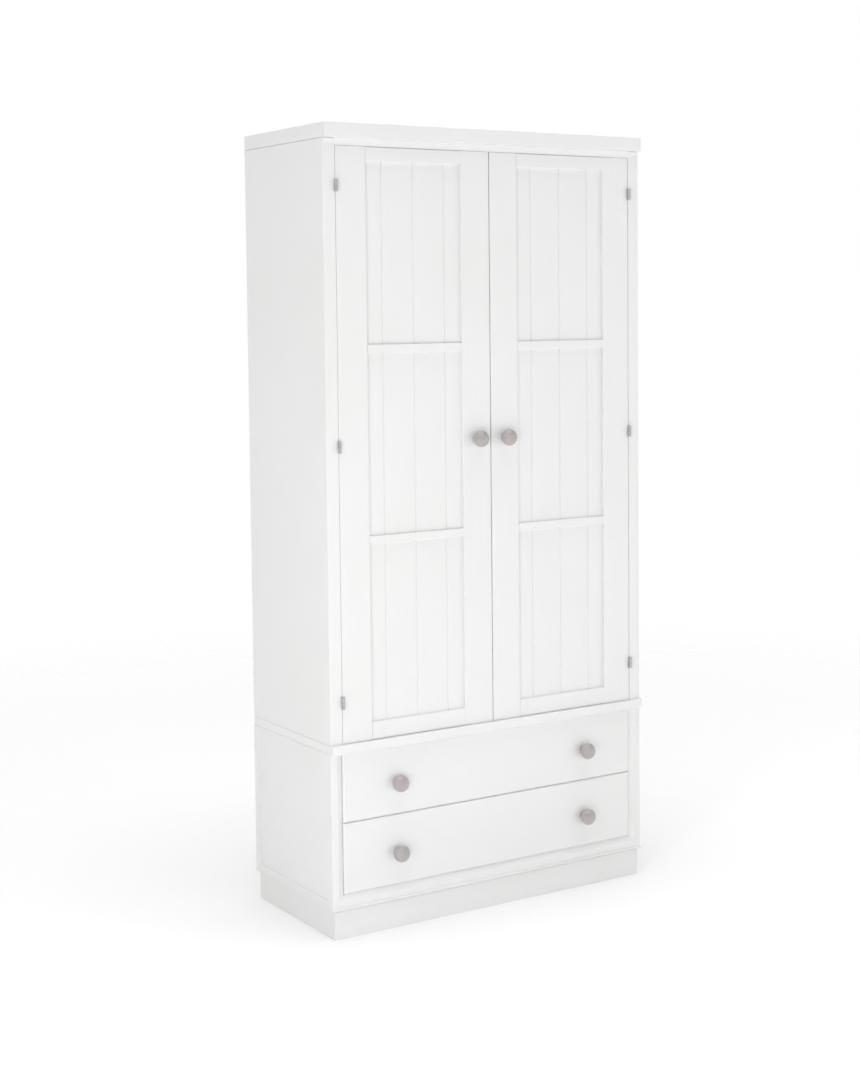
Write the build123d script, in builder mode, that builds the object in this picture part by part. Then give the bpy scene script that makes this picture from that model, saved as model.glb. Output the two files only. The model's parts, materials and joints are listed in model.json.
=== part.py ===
"""Two-door wardrobe standing on a base with two drawers, in white painted timber.

The wardrobe stands on the floor, z = 0. X runs along its width, with the left side at -X.
Y runs through its depth: the doors face -Y and the back faces +Y. The origin is on the floor
in the middle of the width and of the whole depth, knobs included. All sizes are millimetres.
"""
import os

from build123d import *

os.makedirs("parts", exist_ok=True)

# ---- Overall size ------------------------------------------------------------------------
WIDTH = 915.0
HEIGHT = 1900.0
CARCASS_DEPTH = 392.0          # from the face of the frame to the back
KNOB_PROJECTION = 35.0         # from the face that carries the knob

HALF = WIDTH / 2
FRONT = -(CARCASS_DEPTH - KNOB_PROJECTION) / 2
BACK = FRONT + CARCASS_DEPTH

# ---- Boards ------------------------------------------------------------------------------
PANEL_T = 18.0                 # sides, shelf and plinth
FRAME_T = 22.0                 # doors, posts, rails and drawer fronts
SHEET_T = 6.0                  # backs and drawer bottoms
TOP_T = 34.0
BASE_TOP_T = 22.0
FLOOR_T = 5.0                  # bottom of the base, whose front edge shows as a thin lip
SOFT = 1.5                     # radius of an eased arris that can be touched
FINE = 0.6                     # radius of an arris beside a painted joint

# ---- Levels ------------------------------------------------------------------------------
PLINTH_H = 70.0
BASE_H = 463.0                 # floor to the upper face of the base's top board
HEAD_RAIL_H = 16.7
BOTTOM_RAIL_TOP = 104.4
DRAWER_SPLIT = 274.5           # middle of the gap between the two drawers
BASE_FLOOR_TOP = PLINTH_H + FLOOR_T
BASE_UNDER = BASE_H - BASE_TOP_T
TOP_UNDER = HEIGHT - TOP_T
HEAD_UNDER = TOP_UNDER - HEAD_RAIL_H

# ---- Overhangs and insets ----------------------------------------------------------------
TOP_OVERHANG = 12.0
BASE_TOP_OVERHANG = 10.0
LIP_OVERHANG = 4.0
LIP_R = 2.0
PLINTH_FRONT_INSET = 4.0
PLINTH_SIDE_INSET = 7.0
PLINTH_QUIRK = (6.0, 4.0)      # depth and height of the shadow line over the plinth
TOP_QUIRK = (3.0, 1.2)         # depth and height of the shadow line under the top

# ---- Openings in the frame ---------------------------------------------------------------
MEETING_GAP = 2.3              # between the two doors
DOOR_TOP_GAP = 0.6
DOOR_BOTTOM_GAP = 0.7
DOOR_SIDE_GAP = 1.2
DRAWER_GAP = 0.6               # all round the drawer fronts
OPENING_HALF = 425.0
SIDE_INNER = HALF - PANEL_T
POST_DEPTH = 40.0
SPLAY_DEPTH = 7.0              # the base's frame slopes back this far towards the drawers
SPLAY_LOW = BOTTOM_RAIL_TOP - (SIDE_INNER - OPENING_HALF)

# ---- Back panels -------------------------------------------------------------------------
REBATE_W = 9.0
REBATE_D = 7.0
BACK_INNER = BACK - REBATE_D

# ---- Doors -------------------------------------------------------------------------------
DOOR_TOP = HEAD_UNDER - DOOR_TOP_GAP
DOOR_BOTTOM = BASE_H + DOOR_BOTTOM_GAP
DOOR_INNER = MEETING_GAP / 2
DOOR_OUTER = OPENING_HALF - DOOR_SIDE_GAP
DOOR_BACK = FRONT + FRAME_T
STILE_W = 80.0
TOP_RAIL_H = 32.5
LOW_RAIL_H = 42.0
MID_RAIL_H = 20.0
MID_RAIL_LEVELS = (935.2, 1382.6)
PANEL_RECESS = 7.0
DOOR_PANEL_T = 8.0
GROOVE_D = 6.0                 # depth of the frame's groove for the panels
PANEL_PLAY = 0.5
BOARD_PITCH = 86.0             # between the V-grooves of the door panels
V_WIDTH = 4.0
V_DEPTH = 2.2
MOULD = 1.8                    # softened edge of the frame around each panel

# ---- Hinges ------------------------------------------------------------------------------
HINGE_LEVELS = (560.5, 1157.5, 1758.0)
HINGE_H = 28.0
KNUCKLE_R = 4.0
PIN_R = 2.0
PIN_PLAY = 0.05
KNUCKLE_GAP = 0.3
LEAF_T = 1.6
LEAF_DEPTH = 20.0
KNUCKLE_CLEAR = 0.8            # between the knuckle and the face of the frame
AXIS_X = OPENING_HALF - DOOR_SIDE_GAP / 2
AXIS_Y = FRONT - KNUCKLE_R - KNUCKLE_CLEAR

# ---- Knobs -------------------------------------------------------------------------------
KNOB_R = 20.0
KNOB_WIDEST = 19.5             # from the face to the widest part of the head
KNOB_NECK_END = 10.5
KNOB_FOOT_R = 12.5
KNOB_FOOT_T = 2.0
KNOB_NECK_R = 10.3             # at KNOB_NECK from the face
KNOB_NECK = 6.0
KNOB_SHOULDER_R = 13.5
KNOB_DOME_R = KNOB_R * 0.72            # radius of the dome at KNOB_DOME from the face
KNOB_DOME = 30.3
DOOR_KNOB_Z = 1160.0
DRAWER_KNOB_X = 277.0

# ---- Inside the wardrobe -----------------------------------------------------------------
SHELF_UNDER = 1560.0
SHELF_SETBACK = 4.0            # behind the posts
SHELF_FRONT = FRONT + POST_DEPTH + SHELF_SETBACK
CLEAT = 20.0
RAIL_R = 12.5
RAIL_WALL = 1.5
RAIL_Z = 1500.0
RAIL_Y = (DOOR_BACK + BACK_INNER) / 2
SOCKET_FLANGE_R = 22.0
SOCKET_FLANGE_T = 4.0
SOCKET_CUP_R = 16.0
SOCKET_CUP_L = 14.0
CATCH_W = 44.0
CATCH_STEM_W = 28.0
CATCH_D = 16.0
CATCH_H = 18.0
CATCH_R = 2.0                  # rounded corners of the catch and of its strike plate
STRIKE_W = 40.0
STRIKE_H = 13.0
STRIKE_T = 1.5
STRIKE_GAP = 0.4
STRIKE_DROP = 2.0              # below the door's top edge

# ---- Drawers -----------------------------------------------------------------------------
DRAWER_RECESS = 2.0
DRAWER_EDGE_R = 5.0
DRAWER_SIDE_T = 12.0
DRAWER_SIDE_OUTER = 421.0
DRAWER_SIDE_LIFT = 6.0         # bottom edge of the sides above that of the front
DRAWER_SIDE_DROP = 14.0        # top edge of the sides below that of the front
DRAWER_BOX_L = 338.0
BOTTOM_LIFT = 8.0              # underside of the drawer's bottom above the sides' edges
DRAWER_GROOVE = 6.0
DRAWER_BACK_Y = FRONT + DRAWER_RECESS + FRAME_T + DRAWER_BOX_L
RUNNER_PLAY = 0.4
RUNNER_H = 12.0
RUNNER_INNER = 404.0
GUIDE_INNER = 422.5
GUIDE_H = 25.0
RUNNER_SETBACK = 5.0           # behind the drawers' frame
RUNNER_FRONT = FRONT + FRAME_T + RUNNER_SETBACK

# name, front's bottom edge, front's top edge, knob level
DRAWERS = (
    ("drawer_lower", BOTTOM_RAIL_TOP + DRAWER_GAP, DRAWER_SPLIT - DRAWER_GAP / 2, 183.0),
    ("drawer_upper", DRAWER_SPLIT + DRAWER_GAP / 2, BASE_UNDER - DRAWER_GAP, 352.0),
)

# ---- Framed outer face of the base's sides -----------------------------------------------
FIELD_DEPTH = 2.0
FIELD_STILE = 26.0
FIELD_RAIL = 22.0

SIDES = (("left", -1), ("right", 1))


# ---- Helpers -----------------------------------------------------------------------------
def span(a, b, sign=1):
    """The interval between a and b, mirrored to the left where sign is -1."""
    return tuple(sorted((sign * a, sign * b)))


def block(x, y, z, mode=Mode.ADD):
    """A rectangular block between the limits x, y and z, in the current part."""
    centre = Vector(*((low + high) / 2 for low, high in (x, y, z)))
    sizes = (high - low for low, high in (x, y, z))
    with Locations(centre):
        Box(*sizes, mode=mode)


def save(piece, name):
    """Label a finished piece and write it to its own file."""
    piece.part.label = name
    export_step(piece.part, f"parts/{name}.step")


def soft_board(name, x, y, z, radius=SOFT):
    """A plain board with all its arrises eased."""
    with BuildPart() as board:
        block(x, y, z)
        fillet(board.edges(), radius)
    save(board, name)


def knob_revolved(x, face_y, z):
    """A turned knob on the face at face_y, added to the current part."""
    centre = Plane(origin=(x, face_y, z), x_dir=(1, 0, 0), z_dir=(0, 0, -1))
    with BuildSketch(centre) as profile:
        with BuildLine():
            Line((0, 0), (KNOB_FOOT_R, 0))
            Line((KNOB_FOOT_R, 0), (KNOB_FOOT_R, KNOB_FOOT_T))
            ThreePointArc((KNOB_FOOT_R, KNOB_FOOT_T), (KNOB_NECK_R, KNOB_NECK),
                          (KNOB_SHOULDER_R, KNOB_NECK_END))
            Spline((KNOB_SHOULDER_R, KNOB_NECK_END), (KNOB_R, KNOB_WIDEST),
                   tangents=((1, 0.1), (0, 1)))
            Spline((KNOB_R, KNOB_WIDEST), (KNOB_DOME_R, KNOB_DOME), (0, KNOB_PROJECTION),
                   tangents=((0, 1), (-1, 0)))
            Line((0, KNOB_PROJECTION), (0, 0))
        make_face()
    revolve(profile.sketch, axis=Axis((x, face_y, z), (0, -1, 0)))


# ---- Top, head rail and the upper carcass ------------------------------------------------
soft_board("top_board", (-HALF, HALF), (FRONT - TOP_OVERHANG, BACK), (TOP_UNDER, HEIGHT))

with BuildPart() as head_rail:
    block((-OPENING_HALF, OPENING_HALF), (FRONT, DOOR_BACK), (HEAD_UNDER, TOP_UNDER))
    low_edges = head_rail.edges().filter_by(Axis.X).group_by(Axis.Z)[0]
    fillet(low_edges, FINE)
save(head_rail, "head_rail")

TOP_QUIRK_Z = (TOP_UNDER - TOP_QUIRK[1], TOP_UNDER)

for side, sign in SIDES:
    with BuildPart() as upper_side:
        block(span(SIDE_INNER, HALF, sign), (FRONT, BACK), (BASE_H, TOP_UNDER))
        outer_face = upper_side.faces().filter_by(Axis.X).sort_by(Axis.X)[0 if sign < 0 else -1]
        fillet(outer_face.edges().sort_by(Axis.Z)[:-1], SOFT)
        block(span(SIDE_INNER, SIDE_INNER + REBATE_W, sign), (BACK_INNER, BACK),
              (BASE_H, TOP_UNDER), Mode.SUBTRACT)
        block(span(HALF - TOP_QUIRK[0], HALF, sign), (FRONT, BACK), TOP_QUIRK_Z, Mode.SUBTRACT)
        block(span(SIDE_INNER, HALF, sign), (FRONT, FRONT + TOP_QUIRK[0]), TOP_QUIRK_Z,
              Mode.SUBTRACT)
    save(upper_side, f"upper_side_{side}")

    with BuildPart() as upper_post:
        block(span(OPENING_HALF, SIDE_INNER, sign), (FRONT, FRONT + POST_DEPTH),
              (BASE_H, TOP_UNDER))
        post_edges = upper_post.edges().filter_by(Axis.Z)
        fillet(post_edges.sort_by(Axis.X)[-2:] if sign < 0 else post_edges.sort_by(Axis.X)[:2],
               FINE)
        for level in HINGE_LEVELS:
            block(span(OPENING_HALF, OPENING_HALF + LEAF_T, sign), (FRONT, FRONT + LEAF_DEPTH),
                  (level - HINGE_H / 2, level + HINGE_H / 2), Mode.SUBTRACT)
        block(span(OPENING_HALF, SIDE_INNER, sign), (FRONT, FRONT + TOP_QUIRK[0]), TOP_QUIRK_Z,
              Mode.SUBTRACT)
    save(upper_post, f"upper_post_{side}")

sheet_x = (-SIDE_INNER - REBATE_W, SIDE_INNER + REBATE_W)
sheet_y = (BACK_INNER, BACK_INNER + SHEET_T)
for name, sheet_z in (("upper_back", (BASE_H, TOP_UNDER)),
                      ("base_back", (BASE_FLOOR_TOP, BASE_UNDER))):
    with BuildPart() as back_sheet:
        block(sheet_x, sheet_y, sheet_z)
    save(back_sheet, name)

# ---- Shelf, hanging rail and door catches ------------------------------------------------
with BuildPart() as hat_shelf:
    block((-SIDE_INNER, SIDE_INNER), (SHELF_FRONT, BACK_INNER),
          (SHELF_UNDER, SHELF_UNDER + PANEL_T))
    fillet(hat_shelf.edges().filter_by(Axis.X).group_by(Axis.Y)[0], SOFT)
save(hat_shelf, "hat_shelf")

with BuildPart() as shelf_cleats:
    for _, sign in SIDES:
        block(span(SIDE_INNER - CLEAT, SIDE_INNER, sign), (SHELF_FRONT + CLEAT, BACK_INNER),
              (SHELF_UNDER - CLEAT, SHELF_UNDER))
    inner_low = shelf_cleats.edges().filter_by(Axis.Y).group_by(Axis.Z)[0]
    fillet(inner_low, SOFT)
save(shelf_cleats, "shelf_cleats")

with BuildPart() as hanging_rail:
    with BuildSketch(Plane.YZ.offset(SOCKET_FLANGE_T - SIDE_INNER)):
        with Locations((RAIL_Y, RAIL_Z)):
            Circle(RAIL_R)
            Circle(RAIL_R - RAIL_WALL, mode=Mode.SUBTRACT)
    extrude(amount=2 * (SIDE_INNER - SOCKET_FLANGE_T))
save(hanging_rail, "hanging_rail")

with BuildPart() as rail_sockets:
    for _, sign in SIDES:
        wall = Plane(origin=(sign * SIDE_INNER, RAIL_Y, RAIL_Z), z_dir=(-sign, 0, 0))
        with BuildSketch(wall):
            Circle(SOCKET_FLANGE_R)
        extrude(amount=SOCKET_FLANGE_T)
        with BuildSketch(wall.offset(SOCKET_FLANGE_T)):
            Circle(SOCKET_CUP_R)
            Circle(RAIL_R, mode=Mode.SUBTRACT)
        extrude(amount=SOCKET_CUP_L)
save(rail_sockets, "rail_sockets")

STRIKE_Z = DOOR_TOP - STRIKE_H / 2 - STRIKE_DROP
CATCH_X = DOOR_INNER + STILE_W / 2
CATCH_FRONT = DOOR_BACK + STRIKE_T + STRIKE_GAP
with BuildPart() as magnet_catches:
    for _, sign in SIDES:
        block(span(CATCH_X - CATCH_W / 2, CATCH_X + CATCH_W / 2, sign),
              (CATCH_FRONT, CATCH_FRONT + CATCH_D),
              (STRIKE_Z - CATCH_H / 2, STRIKE_Z + CATCH_H / 2))
    fillet(magnet_catches.edges().filter_by(Axis.Z), CATCH_R)
    for _, sign in SIDES:
        block(span(CATCH_X - CATCH_STEM_W / 2, CATCH_X + CATCH_STEM_W / 2, sign),
              (CATCH_FRONT + CATCH_D / 2, CATCH_FRONT + CATCH_D),
              (STRIKE_Z, TOP_UNDER))
save(magnet_catches, "magnet_catches")


# ---- Hinges ------------------------------------------------------------------------------
def hinge_leaf(sign, level, plate_x, knuckle_z):
    """One leaf with its knuckle, added to the current part."""
    block(span(*plate_x, sign), (FRONT, FRONT + LEAF_DEPTH),
          (level - HINGE_H / 2, level + HINGE_H / 2))
    block(span(*plate_x, sign), (AXIS_Y, FRONT), knuckle_z)
    with BuildSketch(Plane.XY.offset(knuckle_z[0])) as barrel:
        with Locations((sign * AXIS_X, AXIS_Y)):
            Circle(KNUCKLE_R)
    extrude(barrel.sketch, amount=knuckle_z[1] - knuckle_z[0])
    with BuildSketch(Plane.XY.offset(level - HINGE_H)) as bore:
        with Locations((sign * AXIS_X, AXIS_Y)):
            Circle(PIN_R + PIN_PLAY)
    extrude(bore.sketch, amount=2 * HINGE_H, mode=Mode.SUBTRACT)


FRAME_LEAF_X = (OPENING_HALF, OPENING_HALF + LEAF_T)
DOOR_LEAF_X = (DOOR_OUTER - LEAF_T, DOOR_OUTER)

with BuildPart() as hinge_frame_leaves:
    for _, sign in SIDES:
        for level in HINGE_LEVELS:
            hinge_leaf(sign, level, FRAME_LEAF_X, (level - HINGE_H / 2, level - KNUCKLE_GAP / 2))
save(hinge_frame_leaves, "hinge_frame_leaves")

with BuildPart() as hinge_pins:
    for level in HINGE_LEVELS:
        with BuildSketch(Plane.XY.offset(level - HINGE_H / 2)):
            with Locations((-AXIS_X, AXIS_Y), (AXIS_X, AXIS_Y)):
                Circle(PIN_R)
        extrude(amount=HINGE_H)
save(hinge_pins, "hinge_pins")


# ---- Doors -------------------------------------------------------------------------------
PANEL_INNER = DOOR_INNER + STILE_W
PANEL_OUTER = DOOR_OUTER - STILE_W
PANEL_MIDDLE = (PANEL_INNER + PANEL_OUTER) / 2
GROOVE_Y = (FRONT + PANEL_RECESS, FRONT + PANEL_RECESS + DOOR_PANEL_T)
DOOR_Y = (FRONT, DOOR_BACK)
DOOR_Z = (DOOR_BOTTOM, DOOR_TOP)
LOW_RAIL_TOP = DOOR_BOTTOM + LOW_RAIL_H
TOP_RAIL_UNDER = DOOR_TOP - TOP_RAIL_H


def door_stile(name, sign, x, panel_edge, hinged):
    """A full-height door stile, grooved towards the panels and let in for the hinges."""
    inward = 1 if panel_edge > sum(x) / 2 else -1
    with BuildPart() as stile:
        block(span(*x, sign), DOOR_Y, DOOR_Z)
        edges = stile.edges().filter_by(Axis.Z).sort_by(Axis.X)
        towards_panel = edges[-2:] if inward * sign > 0 else edges[:2]
        away = edges[:2] if inward * sign > 0 else edges[-2:]
        fillet(towards_panel, MOULD)
        fillet(away, SOFT)
        block(span(panel_edge - inward * GROOVE_D, panel_edge, sign), GROOVE_Y, DOOR_Z,
              Mode.SUBTRACT)
        if hinged:
            for level in HINGE_LEVELS:
                block(span(*DOOR_LEAF_X, sign), (FRONT, FRONT + LEAF_DEPTH),
                      (level - HINGE_H / 2, level + HINGE_H / 2), Mode.SUBTRACT)
    save(stile, name)


def door_rail(sign, z, groove_low, groove_high):
    """A rail between the stiles with its end tongues, added to the current part."""
    block(span(PANEL_INNER, PANEL_OUTER, sign), DOOR_Y, z)
    tongue = (z[0] + (GROOVE_D if groove_low else 0), z[1] - (GROOVE_D if groove_high else 0))
    block(span(PANEL_INNER - GROOVE_D, PANEL_OUTER + GROOVE_D, sign), GROOVE_Y, tongue)
    width = span(PANEL_INNER, PANEL_OUTER, sign)
    if groove_low:
        block(width, GROOVE_Y, (z[0], z[0] + GROOVE_D), Mode.SUBTRACT)
    if groove_high:
        block(width, GROOVE_Y, (z[1] - GROOVE_D, z[1]), Mode.SUBTRACT)


def soften_rail(rail, faces_y=(FRONT, DOOR_BACK)):
    """Ease the long arrises of the rail that are seen around the panels."""
    long_edges = rail.edges().filter_by(Axis.X)
    seen = [edge for edge in long_edges
            if min(abs(edge.center().Y - y) for y in faces_y) < FINE]
    fillet(seen, MOULD)


def door_panel(name, sign, z):
    """A grooved sheet that stands in the frame's grooves, V-cut like narrow boards."""
    reach = GROOVE_D - PANEL_PLAY
    with BuildPart() as panel:
        block(span(PANEL_INNER - reach, PANEL_OUTER + reach, sign), GROOVE_Y,
              (z[0] - reach, z[1] + reach))
        with BuildSketch(Plane.XY.offset(z[0] - reach)):
            for step in (-1, 0, 1):
                x = sign * PANEL_MIDDLE + step * BOARD_PITCH
                with BuildLine():
                    Polyline((x - V_WIDTH / 2, GROOVE_Y[0]), (x, GROOVE_Y[0] + V_DEPTH),
                             (x + V_WIDTH / 2, GROOVE_Y[0]), close=True)
                make_face()
        extrude(amount=z[1] - z[0] + 2 * reach, mode=Mode.SUBTRACT)
    save(panel, name)


for side, sign in SIDES:
    door = f"door_{side}"
    door_stile(f"{door}_hinge_stile", sign, (PANEL_OUTER, DOOR_OUTER), PANEL_OUTER, True)
    door_stile(f"{door}_meeting_stile", sign, (DOOR_INNER, PANEL_INNER), PANEL_INNER, False)

    with BuildPart() as top_rail:
        door_rail(sign, (TOP_RAIL_UNDER, DOOR_TOP), True, False)
        soften_rail(top_rail)
    save(top_rail, f"{door}_top_rail")

    with BuildPart() as bottom_rail:
        door_rail(sign, (DOOR_BOTTOM, LOW_RAIL_TOP), False, True)
        soften_rail(bottom_rail)
    save(bottom_rail, f"{door}_bottom_rail")

    with BuildPart() as mid_rails:
        for level in MID_RAIL_LEVELS:
            door_rail(sign, (level - MID_RAIL_H / 2, level + MID_RAIL_H / 2), True, True)
        soften_rail(mid_rails)
    save(mid_rails, f"{door}_mid_rails")

    levels = (LOW_RAIL_TOP,
              MID_RAIL_LEVELS[0] - MID_RAIL_H / 2, MID_RAIL_LEVELS[0] + MID_RAIL_H / 2,
              MID_RAIL_LEVELS[1] - MID_RAIL_H / 2, MID_RAIL_LEVELS[1] + MID_RAIL_H / 2,
              TOP_RAIL_UNDER)
    for index, place in enumerate(("lower", "middle", "upper")):
        door_panel(f"{door}_{place}_panel", sign, levels[2 * index:2 * index + 2])

    with BuildPart() as door_knob:
        knob_revolved(sign * (DOOR_INNER + STILE_W / 2), FRONT, DOOR_KNOB_Z)
    save(door_knob, f"{door}_knob")

    with BuildPart() as hinge_leaves:
        for level in HINGE_LEVELS:
            hinge_leaf(sign, level, DOOR_LEAF_X, (level + KNUCKLE_GAP / 2, level + HINGE_H / 2))
    save(hinge_leaves, f"{door}_hinge_leaves")

    with BuildPart() as strike_plate:
        block(span(CATCH_X - STRIKE_W / 2, CATCH_X + STRIKE_W / 2, sign),
              (DOOR_BACK, DOOR_BACK + STRIKE_T),
              (STRIKE_Z - STRIKE_H / 2, STRIKE_Z + STRIKE_H / 2))
        fillet(strike_plate.edges().filter_by(Axis.Y), CATCH_R)
    save(strike_plate, f"{door}_strike_plate")


# ---- Base: top, sides, posts, rail, floor ------------------------------------------------
def cut_splay():
    """Take the sloping mouth round the drawers, mitred at its corners, off the current part."""
    sections = []
    for half, low, y in ((SIDE_INNER, SPLAY_LOW, FRONT),
                         (OPENING_HALF, BOTTOM_RAIL_TOP, FRONT + SPLAY_DEPTH)):
        with BuildSketch(Plane.XZ.offset(-y)) as section:
            with BuildLine():
                Polyline((-half, low), (half, low), (half, BASE_UNDER), (-half, BASE_UNDER),
                         close=True)
            make_face()
        sections.append(section.sketch.face())
    loft(sections, ruled=True, mode=Mode.SUBTRACT)


soft_board("base_top_board", (-HALF, HALF), (FRONT - BASE_TOP_OVERHANG, BACK),
           (BASE_UNDER, BASE_H))

with BuildPart() as base_floor:
    block((-HALF, HALF), (FRONT - LIP_OVERHANG, BACK), (PLINTH_H, BASE_FLOOR_TOP))
    lip_edges = base_floor.edges().filter_by(Axis.X).group_by(Axis.Y)[0]
    fillet(lip_edges.sort_by(Axis.Z)[-1], LIP_R)
save(base_floor, "base_floor")

for side, sign in SIDES:
    with BuildPart() as base_side:
        block(span(SIDE_INNER, HALF, sign), (FRONT, BACK), (BASE_FLOOR_TOP, BASE_UNDER))
        outer_face = base_side.faces().filter_by(Axis.X).sort_by(Axis.X)[0 if sign < 0 else -1]
        fillet(outer_face.edges(), FINE)
        block(span(HALF - FIELD_DEPTH, HALF, sign), (FRONT + FIELD_STILE, BACK - FIELD_STILE),
              (PLINTH_H + FIELD_RAIL, BASE_UNDER - FIELD_RAIL), Mode.SUBTRACT)
        block(span(SIDE_INNER, SIDE_INNER + REBATE_W, sign), (BACK_INNER, BACK),
              (BASE_FLOOR_TOP, BASE_UNDER), Mode.SUBTRACT)
    save(base_side, f"base_side_{side}")

    with BuildPart() as base_post:
        block(span(OPENING_HALF, SIDE_INNER, sign), (FRONT, DOOR_BACK),
              (BASE_FLOOR_TOP, BASE_UNDER))
        cut_splay()
    save(base_post, f"base_post_{side}")

with BuildPart() as base_bottom_rail:
    block((-OPENING_HALF, OPENING_HALF), (FRONT, DOOR_BACK), (BASE_FLOOR_TOP, BOTTOM_RAIL_TOP))
    cut_splay()
save(base_bottom_rail, "base_bottom_rail")

# ---- Plinth, mitred at its front corners -------------------------------------------------
PLINTH_X = HALF - PLINTH_SIDE_INSET
PLINTH_Y = FRONT + PLINTH_FRONT_INSET
PLINTH_BACK = BACK - PLINTH_SIDE_INSET
PLINTH_QUIRK_Z = (PLINTH_H - PLINTH_QUIRK[1], PLINTH_H)

with BuildPart() as plinth_front:
    with BuildSketch():
        with BuildLine():
            Polyline((-PLINTH_X, PLINTH_Y), (PLINTH_X, PLINTH_Y),
                     (PLINTH_X - PANEL_T, PLINTH_Y + PANEL_T),
                     (-PLINTH_X + PANEL_T, PLINTH_Y + PANEL_T), close=True)
        make_face()
    extrude(amount=PLINTH_H)
    block((-HALF, HALF), (PLINTH_Y, PLINTH_Y + PLINTH_QUIRK[0]), PLINTH_QUIRK_Z, Mode.SUBTRACT)
save(plinth_front, "plinth_front")

for side, sign in SIDES:
    with BuildPart() as plinth_side:
        with BuildSketch():
            with BuildLine():
                Polyline((sign * PLINTH_X, PLINTH_Y), (sign * PLINTH_X, PLINTH_BACK),
                         (sign * (PLINTH_X - PANEL_T), PLINTH_BACK),
                         (sign * (PLINTH_X - PANEL_T), PLINTH_Y + PANEL_T), close=True)
            make_face()
        extrude(amount=PLINTH_H)
        fillet(plinth_side.edges().filter_by(Axis.Z).group_by(Axis.Y)[-1], SOFT)
        block(span(PLINTH_X - PLINTH_QUIRK[0], PLINTH_X, sign), (PLINTH_Y, PLINTH_BACK),
              PLINTH_QUIRK_Z, Mode.SUBTRACT)
    save(plinth_side, f"plinth_{side}")

soft_board("plinth_back", (PANEL_T - PLINTH_X, PLINTH_X - PANEL_T),
           (PLINTH_BACK - 2 * PANEL_T, PLINTH_BACK - PANEL_T), (0, PLINTH_H), FINE)

# ---- Drawers and their runners -----------------------------------------------------------
with BuildPart() as drawer_runners:
    for _, bottom, _, _ in DRAWERS:
        ledge = bottom + DRAWER_SIDE_LIFT - RUNNER_PLAY
        for _, sign in SIDES:
            block(span(RUNNER_INNER, SIDE_INNER, sign), (RUNNER_FRONT, BACK_INNER),
                  (ledge - RUNNER_H, ledge))
            block(span(GUIDE_INNER, SIDE_INNER, sign), (RUNNER_FRONT, BACK_INNER),
                  (ledge, ledge + GUIDE_H))
save(drawer_runners, "drawer_runners")

FACE_Y = FRONT + DRAWER_RECESS
BOX_Y = (FACE_Y + FRAME_T, DRAWER_BACK_Y)
BOX_INNER = DRAWER_SIDE_OUTER - DRAWER_SIDE_T
SHEET_X = (-BOX_INNER - DRAWER_GROOVE, BOX_INNER + DRAWER_GROOVE)

for name, bottom, top, knob_z in DRAWERS:
    box_z = (bottom + DRAWER_SIDE_LIFT, top - DRAWER_SIDE_DROP)
    bottom_z = (box_z[0] + BOTTOM_LIFT, box_z[0] + BOTTOM_LIFT + SHEET_T)
    sheet_y = (BOX_Y[0] - DRAWER_GROOVE, BOX_Y[1])

    with BuildPart() as drawer_front:
        block((-DOOR_OUTER, DOOR_OUTER), (FACE_Y, BOX_Y[0]), (bottom, top))
        fillet(drawer_front.faces().sort_by(Axis.Y)[0].edges(), DRAWER_EDGE_R)
        block(SHEET_X, sheet_y, bottom_z, Mode.SUBTRACT)
    save(drawer_front, f"{name}_front")

    with BuildPart() as drawer_sides:
        for _, sign in SIDES:
            block(span(BOX_INNER, DRAWER_SIDE_OUTER, sign), BOX_Y, box_z)
        fillet(drawer_sides.edges().filter_by(Axis.Y).group_by(Axis.Z)[-1], SOFT)
        block(SHEET_X, BOX_Y, bottom_z, Mode.SUBTRACT)
    save(drawer_sides, f"{name}_sides")

    with BuildPart() as drawer_back:
        block((-BOX_INNER, BOX_INNER), (DRAWER_BACK_Y - DRAWER_SIDE_T, DRAWER_BACK_Y),
              (bottom_z[1], box_z[1]))
        fillet(drawer_back.edges().filter_by(Axis.X).group_by(Axis.Z)[-1], SOFT)
    save(drawer_back, f"{name}_back")

    with BuildPart() as drawer_bottom:
        block(SHEET_X, sheet_y, bottom_z)
    save(drawer_bottom, f"{name}_bottom")

    with BuildPart() as drawer_knobs:
        for _, sign in SIDES:
            knob_revolved(sign * DRAWER_KNOB_X, FACE_Y, knob_z)
    save(drawer_knobs, f"{name}_knobs")
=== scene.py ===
"""A white painted wardrobe with two panelled doors over two drawers, in a bright studio.

Everything is in metres, in the part's own frame: X along the width, the doors facing -Y,
Z up, and the origin on the floor under the middle of the whole.
"""
import json
import math

import bpy
from mathutils import Matrix, Vector


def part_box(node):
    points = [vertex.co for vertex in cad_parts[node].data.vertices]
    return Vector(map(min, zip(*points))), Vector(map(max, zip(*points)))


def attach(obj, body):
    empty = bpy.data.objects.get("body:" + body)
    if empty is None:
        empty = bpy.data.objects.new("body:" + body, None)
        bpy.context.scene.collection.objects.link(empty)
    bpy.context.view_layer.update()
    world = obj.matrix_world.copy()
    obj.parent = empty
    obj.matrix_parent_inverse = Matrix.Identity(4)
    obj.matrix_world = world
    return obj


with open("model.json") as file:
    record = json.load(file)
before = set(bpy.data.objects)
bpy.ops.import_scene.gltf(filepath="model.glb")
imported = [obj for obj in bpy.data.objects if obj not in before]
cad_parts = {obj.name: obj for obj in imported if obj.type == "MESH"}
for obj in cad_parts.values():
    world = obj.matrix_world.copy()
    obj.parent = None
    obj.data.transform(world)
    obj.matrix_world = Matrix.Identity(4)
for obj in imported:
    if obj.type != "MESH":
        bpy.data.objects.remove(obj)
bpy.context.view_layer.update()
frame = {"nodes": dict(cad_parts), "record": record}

# ---- Camera ------------------------------------------------------------------------------
CAMERA_AT = (-2.470, -3.810, 1.4725)
CAMERA_TURN = 32.29            # degrees to the right of straight at the doors
CAMERA_TILT = 3.73             # degrees below the horizon
CAMERA_ROLL = 0.60             # degrees that the picture leans to the right
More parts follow.
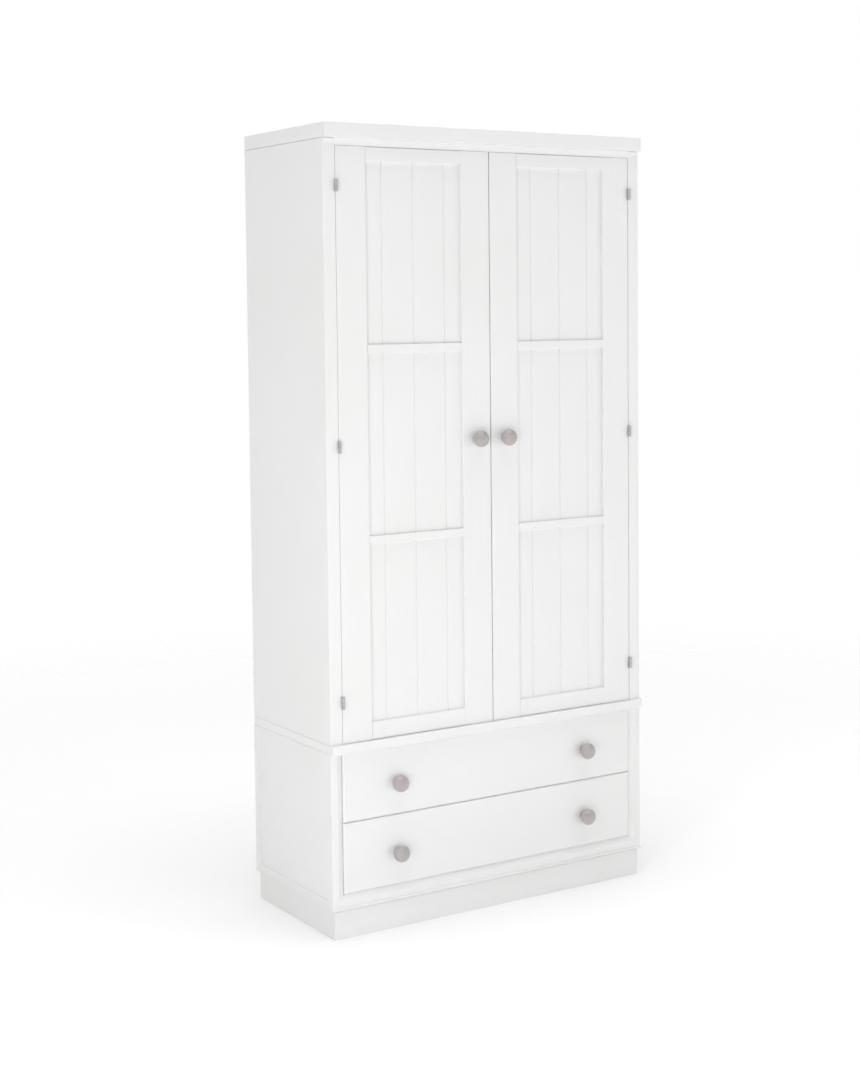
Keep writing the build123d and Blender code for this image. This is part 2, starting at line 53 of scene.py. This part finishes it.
CAMERA_LENS = 60.65            # millimetres
CAMERA_SENSOR = 36.0           # millimetres on the long side of the picture
CAMERA_SHIFT = -0.1023         # the view slides down, so that the tilt can stay small

# ---- Studio ------------------------------------------------------------------------------
FLOOR_RADIUS = 14.0
FLOOR_SOLID = 1.1              # radius within which the floor hides the white below it
FLOOR_GONE = 4.0               # radius beyond which the floor has faded into the white
FLOOR_COLOUR = (0.94, 0.94, 0.94)
HORIZON_WHITE = 1.0            # brightness of the white all round
CEILING_WHITE = 3.3            # brightness of the lit ceiling
HORIZON_ENDS = (0.21, 0.32)    # sines of the angles over which the white turns dark
CEILING_STARTS = (0.75, 0.95)  # and over which the ceiling begins
LIGHTS = (
    dict(name="key", at=(-3.363, -2.384, 2.993), aim=(0.0, -0.2, 0.95), size=0.5, watts=15.0,
         colour=(1.0, 0.99, 0.97), glossy=True),
    dict(name="card_left", at=(-2.0, -2.0, 0.4), aim=(-0.4, -0.2, 0.4), size=1.8, watts=25.5,
         colour=(1.0, 1.0, 1.0), glossy=False),
    dict(name="card_low", at=(0.5, -2.1, 0.2), aim=(0.1, -0.2, 0.05), size=1.6, watts=2.4,
         colour=(1.0, 1.0, 1.0), glossy=False),
    dict(name="fill_right", at=(2.664, -2.435, 1.882), aim=(0.0, -0.2, 0.95), size=3.0,
         watts=20.0, colour=(0.975, 0.99, 1.0), glossy=False),
)

# ---- Small hardware ----------------------------------------------------------------------
HINGE_SCREW = (0.0030, 0.0003)  # radius and height of a head, like the next three
KNOB_SCREW = (0.0045, 0.0022)
SOCKET_SCREW = (0.0022, 0.0009)
BACK_PIN = (0.0018, 0.0004)
HINGE_SCREW_PLACES = ((0.0055, 0.0065), (0.0125, -0.0065))  # from the leaf's back, and up
LEAF_HALF = 0.014              # half the height of a hinge
FLANGE_T = 0.004               # thickness of the rail sockets' flanges
SOCKET_SCREW_REACH = 0.019     # from the middle of the flange
SOCKET_SCREW_TURNS = (0, 120, 240)  # degrees round the flange
PIN_PITCH = 0.14
PIN_MARGIN = 0.012             # from the sheet's upper and lower edges
PIN_SIDE_MARGIN = 0.004
CATCH_HALF = 0.022             # half the width of a catch
CATCH_RISE = 0.009             # its middle above its lower face
POLE = (0.016, 0.00022, 0.0011)  # half length, thickness and half height of a pole plate
POLE_APART = 0.0038            # from the middle of the catch
POLE_BEVEL = 0.0003


# ---- Node helpers ------------------------------------------------------------------------
class Shader:
    """A material's node tree with a Principled shader and object coordinates."""

    def __init__(self, name):
        self.material = bpy.data.materials.new(name)
        self.material.use_nodes = True
        self.tree = self.material.node_tree
        self.surface = self.tree.nodes["Principled BSDF"]
        self.place = self.node("ShaderNodeTexCoord").outputs["Object"]

    def node(self, kind, **settings):
        made = self.tree.nodes.new(kind)
        for key, value in settings.items():
            setattr(made, key, value)
        return made

    def link(self, value, socket):
        """Puts a number, colour or output on an input socket."""
        if isinstance(value, bpy.types.NodeSocket):
            self.tree.links.new(value, socket)
        else:
            socket.default_value = value

    def set(self, **values):
        for key, value in values.items():
            self.link(value, self.surface.inputs[key.replace("_", " ")])

    def stretched(self, scale):
        """Object coordinates times a scale for each axis."""
        made = self.node("ShaderNodeMapping")
        self.link(self.place, made.inputs["Vector"])
        self.link(scale, made.inputs["Scale"])
        return made.outputs["Vector"]

    def noise(self, scale, detail=2.0, roughness=0.5):
        """A noise between 0 and 1, with so many waves per metre along each axis."""
        made = self.node("ShaderNodeTexNoise")
        self.link(self.stretched(scale), made.inputs["Vector"])
        self.link(1.0, made.inputs["Scale"])
        self.link(detail, made.inputs["Detail"])
        self.link(roughness, made.inputs["Roughness"])
        return made.outputs["Fac"]

    def maths(self, operation, *values, clamp=False):
        made = self.node("ShaderNodeMath", operation=operation, use_clamp=clamp)
        for value, socket in zip(values, made.inputs):
            self.link(value, socket)
        return made.outputs[0]

    def ramp(self, value, low, high, from_low=0.0, from_high=1.0):
        made = self.node("ShaderNodeMapRange", clamp=True)
        for item, key in ((value, "Value"), (from_low, "From Min"), (from_high, "From Max"),
                          (low, "To Min"), (high, "To Max")):
            self.link(item, made.inputs[key])
        return made.outputs["Result"]

    def mix(self, factor, first, second, blend="MIX"):
        """A colour between first and second."""
        made = self.node("ShaderNodeMix", data_type="RGBA", blend_type=blend)
        self.link(factor, made.inputs[0])
        self.link(first, made.inputs[6])
        self.link(second, made.inputs[7])
        return made.outputs[2]

    def edges(self, radius):
        """1 on an arris and 0 away from it, by how far a rounded normal leaves the face's."""
        rounded = self.node("ShaderNodeBevel", samples=4)
        self.link(radius, rounded.inputs["Radius"])
        agreement = self.node("ShaderNodeVectorMath", operation="DOT_PRODUCT")
        self.link(rounded.outputs["Normal"], agreement.inputs[0])
        self.link(self.node("ShaderNodeNewGeometry").outputs["Normal"], agreement.inputs[1])
        return self.ramp(agreement.outputs["Value"], 1.0, 0.0, 0.80, 0.995)

    def bump(self, height, depth, under=None):
        """A normal for a height between 0 and 1 that stands depth metres."""
        made = self.node("ShaderNodeBump")
        self.link(height, made.inputs["Height"])
        self.link(1.0, made.inputs["Strength"])
        self.link(depth, made.inputs["Distance"])
        if under:
            self.link(under, made.inputs["Normal"])
        return made.outputs["Normal"]


def rgba(colour):
    return (*colour, 1.0)


def along_axis(axis, across, along):
    """A scale for each axis: along for the grain's axis and across for the other two."""
    return tuple(along if name == axis else across for name in "XYZ")


# ---- Materials ---------------------------------------------------------------------------
PAINT = (0.770, 0.772, 0.776)
PAINT_THIN = (0.742, 0.735, 0.722)
PAINT_EDGE = (0.752, 0.744, 0.730)
INSIDE = (0.735, 0.735, 0.728)
INSIDE_DULL = (0.690, 0.688, 0.676)
KNOB = (0.425, 0.388, 0.386)
KNOB_DEEP = (0.340, 0.305, 0.303)
KNOB_WORN = (0.480, 0.448, 0.440)
STEEL = (0.560, 0.555, 0.545)
STEEL_DARK = (0.300, 0.292, 0.280)
CHROME = (0.790, 0.795, 0.805)
CHROME_DULL = (0.640, 0.640, 0.645)
PLASTIC = (0.780, 0.780, 0.770)
PLASTIC_DEEP = (0.700, 0.698, 0.682)
TIMBER = (0.640, 0.500, 0.335)
TIMBER_DARK = (0.470, 0.325, 0.185)
TIMBER_PALE = (0.730, 0.610, 0.450)


def white_paint(axis):
    """Satin white paint, brushed along the board, over timber whose grain just shows."""
    s = Shader(f"white_paint_{axis.lower()}")
    patches = s.noise((2.2, 2.2, 2.2), detail=3.0)
    grain_lines = s.noise(along_axis(axis, 210.0, 5.0), detail=4.0, roughness=0.65)
    strokes = s.noise(along_axis(axis, 1100.0, 16.0), detail=2.0)
    peel = s.noise((620.0, 620.0, 620.0), detail=1.0)
    tone = s.mix(s.ramp(patches, 0.0, 0.55, 0.35, 0.7), rgba(PAINT), rgba(PAINT_THIN))
    tone = s.mix(s.ramp(grain_lines, 0.0, 0.35, 0.45, 0.75), tone, rgba(PAINT_THIN))
    arris = s.maths("MULTIPLY", s.edges(0.0016), s.ramp(peel, 0.15, 0.6, 0.3, 0.7))
    s.set(Base_Color=s.mix(arris, tone, rgba(PAINT_EDGE)))
    s.set(Roughness=s.ramp(strokes, 0.36, 0.48), Coat_Weight=0.08, Coat_Roughness=0.25)
    relief = s.bump(grain_lines, 0.00010)
    relief = s.bump(strokes, 0.00003, relief)
    s.set(Normal=s.bump(peel, 0.00002, relief))
    return s.material


def white_inside(axis):
    """Matt white paint rolled on board, with a faint stipple and dull patches."""
    s = Shader(f"white_inside_{axis.lower()}")
    patches = s.noise((3.0, 3.0, 3.0), detail=4.0)
    stipple = s.noise((900.0, 900.0, 900.0), detail=2.0)
    lanes = s.noise(along_axis(axis, 26.0, 1.2), detail=2.0)
    tone = s.mix(s.ramp(patches, 0.0, 0.7, 0.35, 0.7), rgba(INSIDE), rgba(INSIDE_DULL))
    tone = s.mix(s.ramp(lanes, 0.0, 0.25, 0.4, 0.7), tone, rgba(INSIDE_DULL))
    s.set(Base_Color=s.mix(s.maths("MULTIPLY", s.edges(0.0012), 0.5), tone, rgba(PAINT_EDGE)))
    s.set(Roughness=s.ramp(stipple, 0.52, 0.66))
    s.set(Normal=s.bump(stipple, 0.00005, s.bump(lanes, 0.0002)))
    return s.material


def painted_knob(axis):
    """Taupe paint on turned wood, with rings from the lathe."""
    s = Shader(f"painted_knob_{axis.lower()}")
    rings = s.noise(along_axis("Y", 9.0, 1500.0), detail=2.0)
    patches = s.noise((70.0, 70.0, 70.0), detail=3.0)
    flecks = s.noise((900.0, 260.0, 900.0), detail=2.0)
    tone = s.mix(s.ramp(patches, 0.0, 0.6, 0.3, 0.7), rgba(KNOB), rgba(KNOB_DEEP))
    tone = s.mix(s.ramp(rings, 0.0, 0.3, 0.45, 0.75), tone, rgba(KNOB_DEEP))
    tone = s.mix(s.ramp(flecks, 0.0, 0.35, 0.6, 0.8), tone, rgba(KNOB_WORN))
    s.set(Base_Color=s.mix(s.maths("MULTIPLY", s.edges(0.0018), 0.6), tone, rgba(KNOB_WORN)))
    s.set(Roughness=s.ramp(flecks, 0.30, 0.42), Coat_Weight=0.45, Coat_Roughness=0.16)
    s.set(Normal=s.bump(flecks, 0.00002, s.bump(rings, 0.00006)))
    return s.material


def steel(axis):
    """Satin steel, ground along its length, that is darker where it is bent or cut."""
    s = Shader(f"steel_{axis.lower()}")
    lines = s.noise(along_axis("Z", 2600.0, 60.0), detail=3.0, roughness=0.6)
    clouds = s.noise((90.0, 90.0, 90.0), detail=3.0)
    tone = s.mix(s.ramp(clouds, 0.0, 0.45, 0.4, 0.75), rgba(STEEL), rgba(STEEL_DARK))
    tone = s.mix(s.ramp(lines, 0.0, 0.3, 0.4, 0.8), tone, rgba(STEEL_DARK))
    s.set(Base_Color=s.mix(s.maths("MULTIPLY", s.edges(0.0009), 0.8), tone, rgba(STEEL_DARK)))
    s.set(Metallic=1.0, Roughness=s.ramp(clouds, 0.26, 0.42), Anisotropic=0.4)
    s.set(Normal=s.bump(lines, 0.00002))
    return s.material


def chromed_steel(axis):
    """Chrome plate with faint draw lines and hazy patches where hangers slide."""
    s = Shader(f"chromed_steel_{axis.lower()}")
    lines = s.noise(along_axis(axis, 1800.0, 8.0), detail=2.0)
    haze = s.noise(along_axis(axis, 60.0, 18.0), detail=4.0)
    tone = s.mix(s.ramp(haze, 0.0, 0.5, 0.45, 0.75), rgba(CHROME), rgba(CHROME_DULL))
    s.set(Base_Color=s.mix(s.maths("MULTIPLY", s.edges(0.0010), 0.5), tone, rgba(CHROME_DULL)))
    s.set(Metallic=1.0, Roughness=s.ramp(haze, 0.07, 0.22), Normal=s.bump(lines, 0.000008))
    return s.material


def catch_plastic(axis):
    """White moulded plastic with a fine spark-eroded grain and a polished arris."""
    s = Shader(f"catch_plastic_{axis.lower()}")
    grain = s.noise((2200.0, 2200.0, 2200.0), detail=2.0)
    clouds = s.noise((45.0, 45.0, 45.0), detail=2.0)
    tone = s.mix(s.ramp(clouds, 0.0, 0.6, 0.35, 0.7), rgba(PLASTIC), rgba(PLASTIC_DEEP))
    s.set(Base_Color=s.mix(s.maths("MULTIPLY", s.edges(0.0008), 0.4), tone, rgba(PAINT)))
    s.set(Roughness=s.ramp(grain, 0.38, 0.55), Normal=s.bump(grain, 0.00003), IOR=1.49)
    return s.material


def drawer_timber(axis):
    """Pale timber under clear lacquer, with growth rings, pores and slightly darker arrises."""
    s = Shader(f"drawer_timber_{axis.lower()}")
    warp = s.noise(along_axis(axis, 9.0, 1.3), detail=3.0)
    rings = s.maths("FRACT", s.maths("MULTIPLY", warp, 13.0))
    late = s.maths("POWER", rings, 3.0)
    pores = s.noise(along_axis(axis, 900.0, 22.0), detail=3.0, roughness=0.6)
    patches = s.noise((4.0, 4.0, 4.0), detail=2.0)
    tone = s.mix(s.ramp(patches, 0.0, 0.7, 0.3, 0.7), rgba(TIMBER), rgba(TIMBER_PALE))
    tone = s.mix(s.maths("MULTIPLY", late, 0.45), tone, rgba(TIMBER_DARK))
    tone = s.mix(s.ramp(pores, 0.0, 0.5, 0.55, 0.8), tone, rgba(TIMBER_DARK))
    s.set(Base_Color=s.mix(s.maths("MULTIPLY", s.edges(0.0012), 0.4), tone, rgba(TIMBER_DARK)))
    s.set(Roughness=s.ramp(pores, 0.38, 0.52), Coat_Weight=0.25, Coat_Roughness=0.2)
    s.set(Normal=s.bump(pores, 0.00005, s.bump(late, 0.00003)))
    return s.material


FINISHES = {made.__name__: made for made in (white_paint, white_inside, painted_knob, steel,
                                             chromed_steel, catch_plastic, drawer_timber)}
made_finishes = {}


def finish(slot, axis):
    """The material of a slot for a board that is longest along axis, made once."""
    if (slot, axis) not in made_finishes:
        made_finishes[slot, axis] = FINISHES[slot](axis)
    return made_finishes[slot, axis]


def longest_axis(node):
    low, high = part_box(node)
    size = high - low
    return "XYZ"[max(range(3), key=lambda axis: size[axis])]


for name, node_object in frame["nodes"].items():
    slot = node_object.material_slots[0].material.name.split(".")[0]
    node_object.material_slots[0].material = finish(slot, longest_axis(name))


# ---- Screws, pins and pole plates --------------------------------------------------------
HEAD_SEGMENTS = 36
HEAD_PROFILE = ((1.0, 0.0), (1.0, 0.35), (0.93, 0.72), (0.72, 0.94), (0.48, 1.0))
SOCKET_PROFILE = ((0.44, 0.96), (0.42, 0.40), (0.0, 0.40))


def head_rings(radius, height):
    """Rings of a domed head with a six-sided socket, standing on z = 0."""
    for part, six in ((HEAD_PROFILE, False), (SOCKET_PROFILE, True)):
        for reach, rise in part:
            ring = []
            for step in range(HEAD_SEGMENTS):
                turn = math.tau * step / HEAD_SEGMENTS
                corner = turn % (math.pi / 3) - math.pi / 6
                flat = math.cos(math.pi / 6) / math.cos(corner) if six else 1.0
                ring.append(Vector((radius * reach * flat * math.cos(turn),
                                    radius * reach * flat * math.sin(turn), height * rise)))
            yield ring


def heads(name, body, slot, size, places):
    """One piece with a head at each place, given as its centre and the way it faces."""
    points = []
    faces = []
    for at, facing in places:
        turn = Vector(facing).to_track_quat("Z", "Y")
        rings = list(head_rings(*size))
        start = len(points)
        points += [Vector(at) + turn @ point for ring in rings[:-1] for point in ring]
        points.append(Vector(at) + turn @ rings[-1][0])
        for row in range(len(rings) - 2):
            for step in range(HEAD_SEGMENTS):
                beside = (step + 1) % HEAD_SEGMENTS
                low = start + row * HEAD_SEGMENTS
                faces.append((low + step, low + beside, low + HEAD_SEGMENTS + beside,
                              low + HEAD_SEGMENTS + step))
        inner = start + (len(rings) - 2) * HEAD_SEGMENTS
        faces += [(inner + step, inner + (step + 1) % HEAD_SEGMENTS, len(points) - 1)
                  for step in range(HEAD_SEGMENTS)]
        faces.append(tuple(reversed(range(start, start + HEAD_SEGMENTS))))
    piece(name, body, slot, points, faces)


def piece(name, body, slot, points, faces):
    """A mesh that takes its finish from a slot and rides on a body."""
    mesh = bpy.data.meshes.new(name)
    mesh.from_pydata(points, [], faces)
    made = bpy.data.objects.new(name, mesh)
    bpy.context.scene.collection.objects.link(made)
    mesh.materials.append(finish(slot, "Z"))
    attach(made, body)


pins_low, pins_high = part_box("hinge_pins")
hinge_joint = next(joint for joint in frame["record"]["behaviour"]["joints"]
                   if joint["name"] == "door_left_hinge")
hinge_levels = (pins_low.z + LEAF_HALF, hinge_joint["pos_m"][2], pins_high.z - LEAF_HALF)


def hinge_screws(name, body, x, facing):
    """Two screws in each leaf of one door's hinges."""
    places = [((x, leaf_back - inset, level + rise), (facing, 0.0, 0.0))
              for level in hinge_levels for inset, rise in HINGE_SCREW_PLACES]
    heads(name, body, "steel", HINGE_SCREW, places)


leaf_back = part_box("hinge_frame_leaves")[1].y
post_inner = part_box("upper_post_right")[0].x
for side, sign in (("left", -1), ("right", 1)):
    body = f"door_{side}"
    stile_low, stile_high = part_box(f"{body}_hinge_stile")
    door_edge = stile_low.x if sign < 0 else stile_high.x
    hinge_screws(f"hinge_screws_frame_{side}", "carcass", sign * post_inner, -sign)
    hinge_screws(f"hinge_screws_{body}", body, door_edge, sign)

    knob_low, knob_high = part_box(f"{body}_knob")
    middle = (knob_low + knob_high) / 2
    heads(f"{body}_knob_screw", body, "steel", KNOB_SCREW,
          [((middle.x, stile_high.y, middle.z), (0.0, 1.0, 0.0))])

for body in ("drawer_upper", "drawer_lower"):
    knob_low, knob_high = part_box(f"{body}_knobs")
    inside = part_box(f"{body}_front")[1].y
    level = (knob_low.z + knob_high.z) / 2
    knob_radius = (knob_high.z - knob_low.z) / 2
    heads(f"{body}_knob_screws", body, "steel", KNOB_SCREW,
          [((x, inside, level), (0.0, 1.0, 0.0))
           for x in (knob_low.x + knob_radius, knob_high.x - knob_radius)])

sockets_low, sockets_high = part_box("rail_sockets")
socket_middle = (sockets_low + sockets_high) / 2
flange_x = sockets_high.x - FLANGE_T
round_flange = [Vector((0.0, math.cos(math.radians(turn)), math.sin(math.radians(turn))))
                for turn in SOCKET_SCREW_TURNS]
heads("rail_socket_screws", "carcass", "steel", SOCKET_SCREW,
      [(Vector((sign * flange_x, socket_middle.y, socket_middle.z)) + SOCKET_SCREW_REACH * way,
        (-sign, 0.0, 0.0)) for sign in (-1, 1) for way in round_flange])


def back_pins(node):
    """Pins round the edge of a back sheet, about PIN_PITCH apart."""
    low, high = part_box(node)
    x_low, x_high = low.x + PIN_SIDE_MARGIN, high.x - PIN_SIDE_MARGIN
    z_low, z_high = low.z + PIN_MARGIN, high.z - PIN_MARGIN
    rows = round((z_high - z_low) / PIN_PITCH)
    places = [(x, z_low + (z_high - z_low) * row / rows) for x in (x_low, x_high)
              for row in range(rows + 1)]
    heads(f"{node}_pins", "carcass", "steel", BACK_PIN,
          [((x, high.y, z), (0.0, 1.0, 0.0)) for x, z in places])


back_pins("upper_back")
back_pins("base_back")

catch_low, catch_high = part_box("magnet_catches")
POLE_FACES = ((4, 5, 6, 7), (3, 2, 1, 0), (0, 1, 5, 4), (1, 2, 6, 5), (2, 3, 7, 6), (3, 0, 4, 7))
plate_points = []
plate_faces = []
for sign in (-1, 1):
    centre_x = sign * (catch_high.x - CATCH_HALF)
    for up in (-POLE_APART, POLE_APART):
        centre_z = catch_low.z + CATCH_RISE + up
        start = len(plate_points)
        for y, shrink in ((catch_low.y, 0.0), (catch_low.y - POLE[1], POLE_BEVEL)):
            for x_way, z_way in ((-1, -1), (1, -1), (1, 1), (-1, 1)):
                plate_points.append(Vector((centre_x + x_way * (POLE[0] - shrink), y,
                                            centre_z + z_way * (POLE[2] - shrink))))
        plate_faces += [tuple(start + corner for corner in face) for face in POLE_FACES]
piece("catch_pole_plates", "carcass", "steel", plate_points, plate_faces)


# ---- Studio ------------------------------------------------------------------------------
def floor_finish():
    """Matt white paper that fades into the white round it, so that no horizon shows."""
    s = Shader("studio_floor")
    s.set(Base_Color=rgba(FLOOR_COLOUR), Roughness=0.9)
    distance = s.node("ShaderNodeVectorMath", operation="LENGTH")
    s.link(s.place, distance.inputs[0])
    fade = s.ramp(distance.outputs["Value"], 1.0, 0.0, FLOOR_SOLID, FLOOR_GONE)
    s.set(Alpha=fade)
    return s.material


def studio_floor():
    mesh = bpy.data.meshes.new("floor")
    corners = [(x * FLOOR_RADIUS, y * FLOOR_RADIUS, 0.0)
               for x, y in ((-1, -1), (1, -1), (1, 1), (-1, 1))]
    mesh.from_pydata(corners, [], [(0, 1, 2, 3)])
    floor = bpy.data.objects.new("floor", mesh)
    bpy.context.scene.collection.objects.link(floor)
    mesh.materials.append(floor_finish())


def area_light(name, at, aim, size, watts, colour, glossy):
    """A soft round lamp that the camera doesn't see, and gloss only where asked."""
    data = bpy.data.lights.new(name, "AREA")
    data.shape = "DISK"
    data.size = size
    data.energy = watts
    data.color = colour
    lamp = bpy.data.objects.new(name, data)
    bpy.context.scene.collection.objects.link(lamp)
    lamp.location = at
    lamp.visible_camera = False
    lamp.visible_glossy = glossy
    lamp.rotation_euler = (Vector(aim) - Vector(at)).to_track_quat("-Z", "Y").to_euler()


def studio_world():
    """White all round the horizon and a lit ceiling, with a dark band between them."""
    world = bpy.data.worlds.new("studio")
    world.use_nodes = True
    tree = world.node_tree

    def rise(value, ends, low, high):
        made = tree.nodes.new("ShaderNodeMapRange")
        made.interpolation_type = "SMOOTHSTEP"
        tree.links.new(value, made.inputs["Value"])
        for number, key in zip((*ends, low, high), ("From Min", "From Max", "To Min", "To Max")):
            made.inputs[key].default_value = number
        return made.outputs["Result"]

    direction = tree.nodes.new("ShaderNodeSeparateXYZ")
    tree.links.new(tree.nodes.new("ShaderNodeTexCoord").outputs["Generated"],
                   direction.inputs[0])
    horizon = rise(direction.outputs["Z"], HORIZON_ENDS, HORIZON_WHITE, 0.0)
    ceiling = rise(direction.outputs["Z"], CEILING_STARTS, 0.0, CEILING_WHITE)
    both = tree.nodes.new("ShaderNodeMath")
    tree.links.new(horizon, both.inputs[0])
    tree.links.new(ceiling, both.inputs[1])
    tree.links.new(both.outputs[0], tree.nodes["Background"].inputs["Color"])
    bpy.context.scene.world = world


def studio_camera():
    data = bpy.data.cameras.new("camera")
    data.lens = CAMERA_LENS
    data.sensor_width = CAMERA_SENSOR
    data.shift_y = CAMERA_SHIFT
    camera = bpy.data.objects.new("camera", data)
    bpy.context.scene.collection.objects.link(camera)
    turn = Matrix.Rotation(math.radians(-CAMERA_TURN), 4, "Z")
    tilt = Matrix.Rotation(math.radians(90.0 - CAMERA_TILT), 4, "X")
    roll = Matrix.Rotation(math.radians(-CAMERA_ROLL), 4, "Z")
    camera.matrix_world = Matrix.Translation(CAMERA_AT) @ turn @ tilt @ roll
    bpy.context.scene.camera = camera


studio_floor()
studio_world()
for light in LIGHTS:
    area_light(**light)
studio_camera()
bpy.context.scene.view_settings.view_transform = "Standard"
